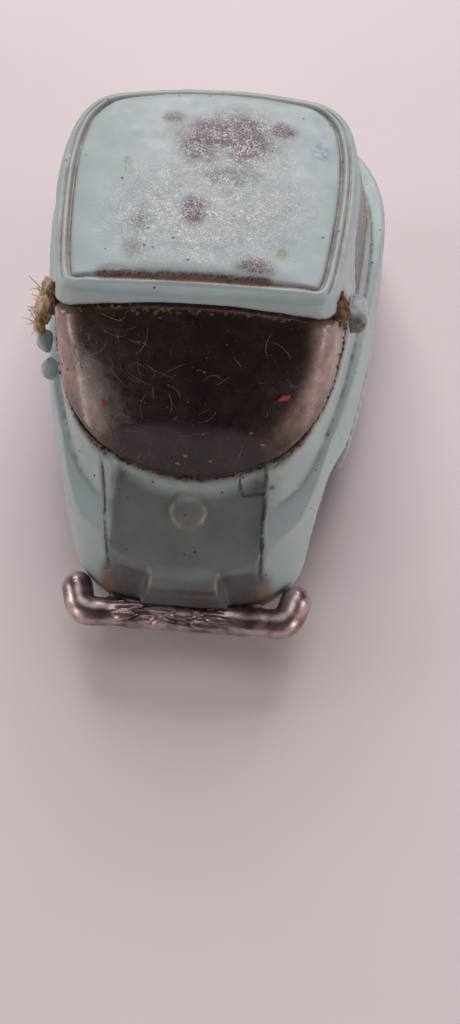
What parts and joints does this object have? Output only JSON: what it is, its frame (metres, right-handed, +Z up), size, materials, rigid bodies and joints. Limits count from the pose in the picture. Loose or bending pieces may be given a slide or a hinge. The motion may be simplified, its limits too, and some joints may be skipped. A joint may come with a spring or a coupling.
{
  "type": "pull back car",
  "caption": "Small pull back toy car with a rounded cabin, smoked glazing, plated bumpers, rubber tyres, and a spring motor geared to the rear axle.",
  "frame": {"origin": "on the ground under the middle of the car, at the centre of the bottom of its box", "axes": "+Z up, -Y towards the nose, +X towards the car's left side; +Y is the long way of the car"},
  "size_m": [0.0284, 0.046, 0.0245],
  "materials": {
    "body_plastic": "pale turquoise moulded plastic, worn satin",
    "smoked_glazing": "smoky brown clear plastic, scratched",
    "interior_plastic": "dark moulded",
    "chassis_plastic": "black moulded, scuffed",
    "screw_steel": "zinc, dull",
    "bumper_chrome": "worn vacuum plating",
    "motor_plastic": "dark moulded",
    "axle_steel": "bright drawn wire",
    "gear_plastic": "natural acetal",
    "spring_steel": "blued strip",
    "tyre_rubber": "moulded rubber",
    "hub_plastic": "plated plastic, dull"
  },
  "bodies": {
    "car": {"body_shell": "body_plastic", "glazing": "smoked_glazing", "interior_tub": "interior_plastic", "steering_wheel": "interior_plastic", "mirror_left": "body_plastic", "mirror_right": "body_plastic", "chassis": "chassis_plastic", "chassis_screws": "screw_steel", "front_bumper": "bumper_chrome", "rear_bumper": "bumper_chrome", "motor_case_left": "motor_plastic", "motor_case_right": "motor_plastic", "idler_arbor": "axle_steel", "drum_arbor": "axle_steel"},
    "front_wheels": {"front_axle": "axle_steel", "front_hub_left": "hub_plastic", "front_hub_right": "hub_plastic", "front_tyre_left": "tyre_rubber", "front_tyre_right": "tyre_rubber"},
    "rear_wheels": {"rear_axle": "axle_steel", "drive_pinion": "gear_plastic", "rear_hub_left": "hub_plastic", "rear_hub_right": "hub_plastic", "rear_tyre_left": "tyre_rubber", "rear_tyre_right": "tyre_rubber"},
    "idler": {"idler_gear": "gear_plastic"},
    "drum": {"spring_drum": "gear_plastic", "mainspring": "spring_steel"}
  },
  "joints": [
    {"name": "front_axle_spin", "type": "hinge", "parent": "car", "child": "front_wheels", "pos_m": [0, -0.012, 0.0044], "axis": [1, 0, 0], "continuous": true},
    {"name": "rear_axle_spin", "type": "hinge", "parent": "car", "child": "rear_wheels", "pos_m": [0, 0.012, 0.0053], "axis": [1, 0, 0], "continuous": true},
    {"name": "idler_spin", "type": "hinge", "parent": "car", "child": "idler", "pos_m": [0, 0.00728, 0.008], "axis": [1, 0, 0], "continuous": true},
    {"name": "drum_spin", "type": "hinge", "parent": "car", "child": "drum", "pos_m": [0, 0.00184, 0.008], "axis": [1, 0, 0], "continuous": true}
  ],
  "couplings": [
    {"joint": "idler_spin", "follows": "rear_axle_spin", "ratio": -0.41667},
    {"joint": "drum_spin", "follows": "rear_axle_spin", "ratio": 0.17361}
  ]
}
